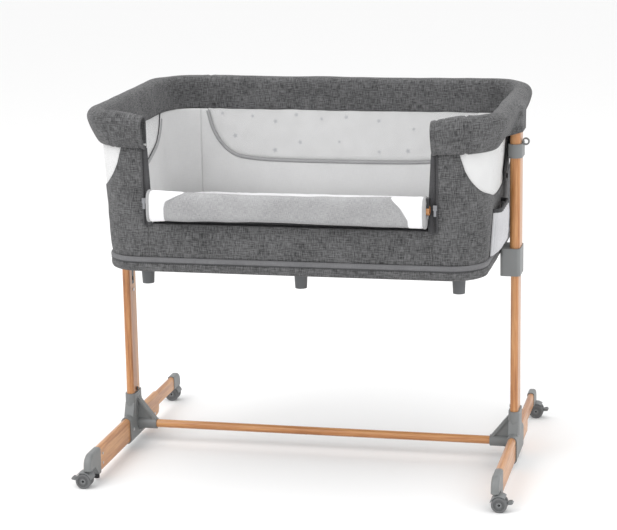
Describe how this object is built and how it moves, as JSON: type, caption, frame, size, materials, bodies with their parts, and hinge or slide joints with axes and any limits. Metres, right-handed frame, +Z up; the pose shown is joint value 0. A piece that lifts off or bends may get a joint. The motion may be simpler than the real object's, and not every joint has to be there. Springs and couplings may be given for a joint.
{
  "type": "bedside sleeper crib",
  "caption": "Bedside sleeper crib with a padded fabric basket on height-adjustable posts, a drop side with zips, mesh windows and a wheeled base with extending rear legs.",
  "frame": {"origin": "on the floor, midway between the posts and midway front to back", "axes": "+X along the crib's length, +Y from the drop side to the back, +Z up"},
  "size_m": [0.934, 0.6878, 0.796],
  "materials": {
    "wood_look": "wood-look lacquer, satin",
    "bare_steel": "light grey lacquer, satin",
    "grey_plastic": "fine matt",
    "dark_plastic": "matt",
    "screw_steel": "satin",
    "rubber_black": "matt",
    "caster_grey": "satin",
    "tread_grey": "matt",
    "melange_grey": "woven melange",
    "light_mesh": "open mesh",
    "panel_marl": "light marl",
    "mattress_white": "quilted",
    "board_brown": "raw board",
    "zip_silver": "bright"
  },
  "bodies": {
    "stand": {"bracket_left": "grey_plastic", "bracket_right": "grey_plastic", "crossbar": "wood_look", "lower_post_left": "wood_look", "lower_post_right": "wood_look", "height_racks": "dark_plastic", "front_leg_left": "wood_look", "front_leg_right": "wood_look", "front_leg_cap_left": "grey_plastic", "front_leg_cap_right": "grey_plastic", "rear_leg_sleeve_left": "wood_look", "rear_leg_sleeve_right": "wood_look", "stand_screws": "screw_steel", "leg_rivets": "screw_steel", "leg_pads": "rubber_black"},
    "basket": {"upper_post_left": "wood_look", "upper_post_right": "wood_look", "height_sleeve_left": "grey_plastic", "height_sleeve_right": "grey_plastic", "hook_collars": "grey_plastic", "rim_saddles": "grey_plastic", "rim_tube": "bare_steel", "rim_cover": "melange_grey", "back_wall": "melange_grey", "end_wall_left": "melange_grey", "end_wall_right": "melange_grey", "front_wall": "melange_grey", "window_meshes": "light_mesh", "mesh_pocket": "light_mesh", "base_cover": "melange_grey", "base_frame": "bare_steel", "bottom_board": "board_brown", "mattress": "mattress_white", "basket_feet": "dark_plastic"},
    "drop_side": {"drop_rail": "wood_look", "drop_panel": "panel_marl", "rail_locks": "dark_plastic", "drop_mesh": "light_mesh"},
    "release_button_left_body": {"release_button_left": "dark_plastic"},
    "post_button_left_body": {"post_button_left": "dark_plastic"},
    "zip_slider_left_body": {"zip_slider_left": "zip_silver"},
    "rear_leg_left_body": {"rear_leg_left": "wood_look", "rear_leg_cap_left": "grey_plastic"},
    "caster_front_left": {"caster_hood_front_left": "caster_grey"},
    "caster_front_left_wheels": {"caster_wheels_front_left": "tread_grey"},
    "caster_front_left_pedal": {"brake_pedal_front_left": "caster_grey"},
    "caster_rear_left": {"caster_hood_rear_left": "caster_grey"},
    "caster_rear_left_wheels": {"caster_wheels_rear_left": "tread_grey"},
    "caster_rear_left_pedal": {"brake_pedal_rear_left": "caster_grey"},
    "release_button_right_body": {"release_button_right": "dark_plastic"},
    "post_button_right_body": {"post_button_right": "dark_plastic"},
    "zip_slider_right_body": {"zip_slider_right": "zip_silver"},
    "rear_leg_right_body": {"rear_leg_right": "wood_look", "rear_leg_cap_right": "grey_plastic"},
    "caster_front_right": {"caster_hood_front_right": "caster_grey"},
    "caster_front_right_wheels": {"caster_wheels_front_right": "tread_grey"},
    "caster_front_right_pedal": {"brake_pedal_front_right": "caster_grey"},
    "caster_rear_right": {"caster_hood_rear_right": "caster_grey"},
    "caster_rear_right_wheels": {"caster_wheels_rear_right": "tread_grey"},
    "caster_rear_right_pedal": {"brake_pedal_rear_right": "caster_grey"}
  },
  "joints": [
    {"name": "basket_height", "type": "slide", "parent": "stand", "child": "basket", "axis": [0, 0, 1], "range_m": [-0.05, 0.1]},
    {"name": "drop_side_slide", "type": "slide", "parent": "basket", "child": "drop_side", "axis": [0, 0, 1], "range_m": [0, 0.158], "deforming": ["drop_mesh"]},
    {"name": "release_button_left", "type": "slide", "parent": "basket", "child": "release_button_left_body", "axis": [-1, 0, 0], "range_m": [0, 0.003], "stiffness_N_per_m": 400, "springref_m": -0.003},
    {"name": "post_button_left", "type": "slide", "parent": "stand", "child": "post_button_left_body", "axis": [-1, 0, 0], "range_m": [0, 0.0025], "stiffness_N_per_m": 400, "springref_m": -0.003},
    {"name": "zip_slide_left", "type": "slide", "parent": "basket", "child": "zip_slider_left_body", "axis": [0, 0, 1], "range_m": [0, 0.1]},
    {"name": "rear_leg_slide_left", "type": "slide", "parent": "stand", "child": "rear_leg_left_body", "axis": [0, 1, 0], "range_m": [-0.07, 0]},
    {"name": "caster_swivel_front_left", "type": "hinge", "parent": "stand", "child": "caster_front_left", "pos_m": [-0.43, -0.324, 0.05], "axis": [0, 0, 1], "continuous": true},
    {"name": "caster_roll_front_left", "type": "hinge", "parent": "caster_front_left", "child": "caster_front_left_wheels", "pos_m": [-0.439, -0.324, 0.0165], "axis": [0, 1, 0], "continuous": true},
    {"name": "brake_front_left", "type": "hinge", "parent": "caster_front_left", "child": "caster_front_left_pedal", "pos_m": [-0.46, -0.324, 0.0195], "axis": [0, -1, 0], "range_deg": [0, 14]},
    {"name": "caster_swivel_rear_left", "type": "hinge", "parent": "rear_leg_left_body", "child": "caster_rear_left", "pos_m": [-0.43, 0.336, 0.05], "axis": [0, 0, 1], "continuous": true},
    {"name": "caster_roll_rear_left", "type": "hinge", "parent": "caster_rear_left", "child": "caster_rear_left_wheels", "pos_m": [-0.439, 0.336, 0.0165], "axis": [0, 1, 0], "continuous": true},
    {"name": "brake_rear_left", "type": "hinge", "parent": "caster_rear_left", "child": "caster_rear_left_pedal", "pos_m": [-0.46, 0.336, 0.0195], "axis": [0, -1, 0], "range_deg": [0, 14]},
    {"name": "release_button_right", "type": "slide", "parent": "basket", "child": "release_button_right_body", "axis": [1, 0, 0], "range_m": [0, 0.003], "stiffness_N_per_m": 400, "springref_m": -0.003},
    {"name": "post_button_right", "type": "slide", "parent": "stand", "child": "post_button_right_body", "axis": [1, 0, 0], "range_m": [0, 0.0025], "stiffness_N_per_m": 400, "springref_m": -0.003},
    {"name": "zip_slide_right", "type": "slide", "parent": "basket", "child": "zip_slider_right_body", "axis": [0, 0, 1], "range_m": [0, 0.1]},
    {"name": "rear_leg_slide_right", "type": "slide", "parent": "stand", "child": "rear_leg_right_body", "axis": [0, 1, 0], "range_m": [-0.07, 0]},
    {"name": "caster_swivel_front_right", "type": "hinge", "parent": "stand", "child": "caster_front_right", "pos_m": [0.43, -0.324, 0.05], "axis": [0, 0, 1], "continuous": true},
    {"name": "caster_roll_front_right", "type": "hinge", "parent": "caster_front_right", "child": "caster_front_right_wheels", "pos_m": [0.439, -0.324, 0.0165], "axis": [0, 1, 0], "continuous": true},
    {"name": "brake_front_right", "type": "hinge", "parent": "caster_front_right", "child": "caster_front_right_pedal", "pos_m": [0.46, -0.324, 0.0195], "axis": [0, 1, 0], "range_deg": [0, 14]},
    {"name": "caster_swivel_rear_right", "type": "hinge", "parent": "rear_leg_right_body", "child": "caster_rear_right", "pos_m": [0.43, 0.336, 0.05], "axis": [0, 0, 1], "continuous": true},
    {"name": "caster_roll_rear_right", "type": "hinge", "parent": "caster_rear_right", "child": "caster_rear_right_wheels", "pos_m": [0.439, 0.336, 0.0165], "axis": [0, 1, 0], "continuous": true},
    {"name": "brake_rear_right", "type": "hinge", "parent": "caster_rear_right", "child": "caster_rear_right_pedal", "pos_m": [0.46, 0.336, 0.0195], "axis": [0, 1, 0], "range_deg": [0, 14]}
  ],
  "couplings": [
    {"joint": "zip_slide_left", "follows": "drop_side_slide", "ratio": 0.6329},
    {"joint": "zip_slide_right", "follows": "drop_side_slide", "ratio": 0.6329}
  ]
}
